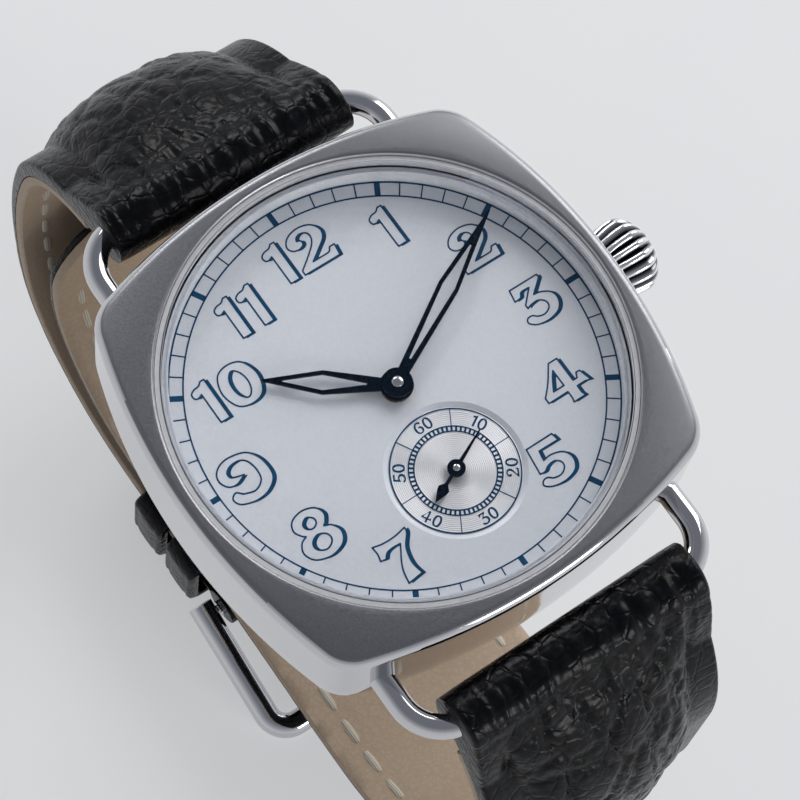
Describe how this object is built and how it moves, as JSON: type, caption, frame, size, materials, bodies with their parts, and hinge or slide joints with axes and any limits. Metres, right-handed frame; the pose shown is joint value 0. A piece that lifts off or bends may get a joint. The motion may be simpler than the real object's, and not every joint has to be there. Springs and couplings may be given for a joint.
{
  "type": "wristwatch",
  "caption": "Cushion-case wristwatch with domed crystal, small seconds, fluted crown, wire lugs, hand-wound movement and a padded two-piece leather strap.",
  "frame": {"origin": "centre of the flat outer face of the case back, on the hands' axis", "axes": "+X towards 3 o'clock and the crown, +Y towards 12 o'clock, +Z out of the dial"},
  "size_m": [0.0407, 0.0696, 0.0577],
  "materials": {
    "steel": "polished stainless steel",
    "inner_steel": "brushed steel",
    "blued_steel": "blued steel",
    "crystal": "clear domed glass",
    "dial_white": "silvered white lacquer with blue print",
    "dial_silver": "turned silver with blue print",
    "rubber": "black seal rubber",
    "brass": "gilt brass",
    "plated_brass": "rhodium plated brass",
    "ruby": "synthetic ruby",
    "black_leather": "black pebbled calf leather",
    "lining": "natural beige lining leather"
  },
  "bodies": {
    "case": {"case_middle": "steel", "case_back": "steel", "back_gasket": "rubber", "crystal": "crystal", "crystal_gasket": "rubber", "flange_ring": "steel", "lug_wire_12": "steel", "lug_wire_6": "steel", "dial": "dial_white", "seconds_dial": "dial_silver", "crown_tube": "inner_steel", "click_spring": "inner_steel", "movement_ring": "plated_brass", "casing_clamps": "blued_steel", "main_plate": "plated_brass", "plate_jewels": "ruby", "bridge_jewels": "ruby", "barrel_bridge": "plated_brass", "train_bridge": "plated_brass", "balance_cock": "plated_brass", "pallet_bridge": "plated_brass", "bridge_screws": "blued_steel"},
    "minute_hand": {"minute_hand": "blued_steel", "cannon_pinion": "inner_steel"},
    "hour_hand": {"hour_hand": "blued_steel", "hour_wheel": "brass"},
    "minute_wheel": {"minute_wheel": "brass"},
    "setting_wheel": {"setting_wheel": "brass"},
    "seconds_hand": {"seconds_hand": "blued_steel", "fourth_wheel": "brass"},
    "third_wheel": {"third_wheel": "brass"},
    "centre_wheel": {"centre_wheel": "brass"},
    "mainspring_barrel": {"mainspring_barrel": "brass", "barrel_cover": "brass", "mainspring": "inner_steel"},
    "escape_wheel": {"escape_wheel": "inner_steel"},
    "pallet_fork": {"pallet_fork": "inner_steel"},
    "balance": {"balance_wheel": "brass", "hairspring": "inner_steel"},
    "crown_slide": {"crown_gasket": "rubber"},
    "crown": {"crown": "steel", "winding_stem": "inner_steel"},
    "winding_pinion": {"winding_pinion": "brass"},
    "yoke": {"yoke": "inner_steel"},
    "sliding_pinion": {"sliding_pinion": "brass"},
    "setting_lever": {"setting_lever": "inner_steel"},
    "crown_wheel": {"crown_wheel": "inner_steel"},
    "ratchet": {"ratchet_wheel": "inner_steel", "barrel_arbor": "inner_steel"},
    "click": {"click": "inner_steel"},
    "strap_12": {"strap_12": "black_leather", "strap_12_lining": "lining", "fixed_keeper": "black_leather"},
    "strap_6": {"strap_6": "black_leather", "strap_6_lining": "lining"},
    "free_keeper": {"free_keeper": "black_leather"},
    "buckle": {"buckle_frame": "steel", "buckle_bar": "inner_steel"},
    "tongue": {"buckle_tongue": "steel"}
  },
  "joints": [
    {"name": "minute_turn", "type": "hinge", "parent": "case", "child": "minute_hand", "pos_m": [0, 0, 0.005], "axis": [0, 0, -1], "continuous": true},
    {"name": "hour_turn", "type": "hinge", "parent": "case", "child": "hour_hand", "pos_m": [0, 0, 0.005], "axis": [0, 0, -1], "continuous": true},
    {"name": "minute_wheel_turn", "type": "hinge", "parent": "case", "child": "minute_wheel", "pos_m": [0.00248, -0.0009, 0.003], "axis": [0, 0, -1], "continuous": true},
    {"name": "setting_wheel_turn", "type": "hinge", "parent": "case", "child": "setting_wheel", "pos_m": [0.00531, 0, 0.003], "axis": [0, 0, -1], "continuous": true},
    {"name": "seconds_turn", "type": "hinge", "parent": "case", "child": "seconds_hand", "pos_m": [0, -0.00726, 0.003], "axis": [0, 0, -1], "continuous": true},
    {"name": "third_wheel_turn", "type": "hinge", "parent": "case", "child": "third_wheel", "pos_m": [0.00278, -0.00463, 0.003], "axis": [0, 0, -1], "continuous": true},
    {"name": "centre_wheel_turn", "type": "hinge", "parent": "case", "child": "centre_wheel", "pos_m": [0, 0, 0.003], "axis": [0, 0, -1], "continuous": true},
    {"name": "barrel_turn", "type": "hinge", "parent": "case", "child": "mainspring_barrel", "pos_m": [0.00162, 0.00609, 0.003], "axis": [0, 0, -1], "continuous": true},
    {"name": "escape_turn", "type": "hinge", "parent": "case", "child": "escape_wheel", "pos_m": [-0.00326, -0.00843, 0.003], "axis": [0, 0, -1], "continuous": true},
    {"name": "pallet_rock", "type": "hinge", "parent": "case", "child": "pallet_fork", "pos_m": [-0.00463, -0.00622, 0.003], "axis": [0, 0, 1], "range_deg": [-5, 5]},
    {"name": "balance_swing", "type": "hinge", "parent": "case", "child": "balance", "pos_m": [-0.00652, -0.00316, 0.003], "axis": [0, 0, 1], "range_deg": [-270, 270], "stiffness_Nm_per_rad": 0.00000005, "deforming": ["hairspring"]},
    {"name": "crown_pull", "type": "slide", "parent": "case", "child": "crown_slide", "axis": [1, 0, 0], "range_m": [0, 0.001]},
    {"name": "crown_spin", "type": "hinge", "parent": "crown_slide", "child": "crown", "pos_m": [0.0185, 0, 0.0044], "axis": [1, 0, 0], "continuous": true},
    {"name": "winding_pinion_turn", "type": "hinge", "parent": "case", "child": "winding_pinion", "pos_m": [0.009, 0, 0.0044], "axis": [1, 0, 0], "continuous": true},
    {"name": "yoke_shift", "type": "slide", "parent": "case", "child": "yoke", "axis": [1, 0, 0], "range_m": [-0.00025, 0]},
    {"name": "sliding_pinion_turn", "type": "hinge", "parent": "yoke", "child": "sliding_pinion", "pos_m": [0.007, 0, 0.0044], "axis": [1, 0, 0], "continuous": true},
    {"name": "setting_lever_turn", "type": "hinge", "parent": "case", "child": "setting_lever", "pos_m": [0.01, -0.0034, 0.005], "axis": [0, 0, 1], "range_deg": [-17, 0]},
    {"name": "crown_wheel_turn", "type": "hinge", "parent": "case", "child": "crown_wheel", "pos_m": [0.0065, 0, 0.003], "axis": [0, 0, 1], "continuous": true},
    {"name": "ratchet_turn", "type": "hinge", "parent": "case", "child": "ratchet", "pos_m": [0.00162, 0.00609, 0.003], "axis": [0, 0, 1], "continuous": true},
    {"name": "click_lift", "type": "hinge", "parent": "case", "child": "click", "pos_m": [-0.00409, 0.00939, 0.003], "axis": [0, 0, 1], "range_deg": [-10, 0]},
    {"name": "lug_12", "type": "hinge", "parent": "case", "child": "strap_12", "pos_m": [0, 0.022, 0.0044], "axis": [1, 0, 0], "range_deg": [0, 75]},
    {"name": "lug_6", "type": "hinge", "parent": "case", "child": "strap_6", "pos_m": [0, -0.022, 0.0044], "axis": [1, 0, 0], "range_deg": [-15, 0]},
    {"name": "keeper_slide", "type": "slide", "parent": "strap_12", "child": "free_keeper", "axis": [0, 1, 0], "range_m": [-0.0006, 0.0015]},
    {"name": "buckle_swing", "type": "hinge", "parent": "strap_12", "child": "buckle", "pos_m": [0, 0.00544, -0.04222], "axis": [1, 0, 0], "range_deg": [0, 60]},
    {"name": "tongue_swing", "type": "hinge", "parent": "buckle", "child": "tongue", "pos_m": [0, 0.00544, -0.04222], "axis": [1, 0, 0], "range_deg": [0, 28]}
  ],
  "couplings": [
    {"joint": "hour_turn", "follows": "minute_turn", "ratio": 0.083333},
    {"joint": "minute_wheel_turn", "follows": "minute_turn", "ratio": -0.33333},
    {"joint": "setting_wheel_turn", "follows": "minute_turn", "ratio": 0.66667},
    {"joint": "third_wheel_turn", "follows": "seconds_turn", "ratio": -0.13333},
    {"joint": "centre_wheel_turn", "follows": "seconds_turn", "ratio": 0.016667},
    {"joint": "barrel_turn", "follows": "seconds_turn", "ratio": -0.0027778},
    {"joint": "escape_turn", "follows": "seconds_turn", "ratio": -10},
    {"joint": "winding_pinion_turn", "follows": "crown_spin", "ratio": 1},
    {"joint": "sliding_pinion_turn", "follows": "crown_spin", "ratio": 1},
    {"joint": "crown_wheel_turn", "follows": "crown_spin", "ratio": 0.63636},
    {"joint": "ratchet_turn", "follows": "crown_spin", "ratio": -0.25},
    {"joint": "yoke_shift", "follows": "crown_pull", "ratio": -0.25},
    {"joint": "setting_lever_turn", "follows": "crown_pull", "rad_per_m": -294},
    {"joint": "lug_6", "follows": "lug_12", "ratio": -0.2}
  ]
}
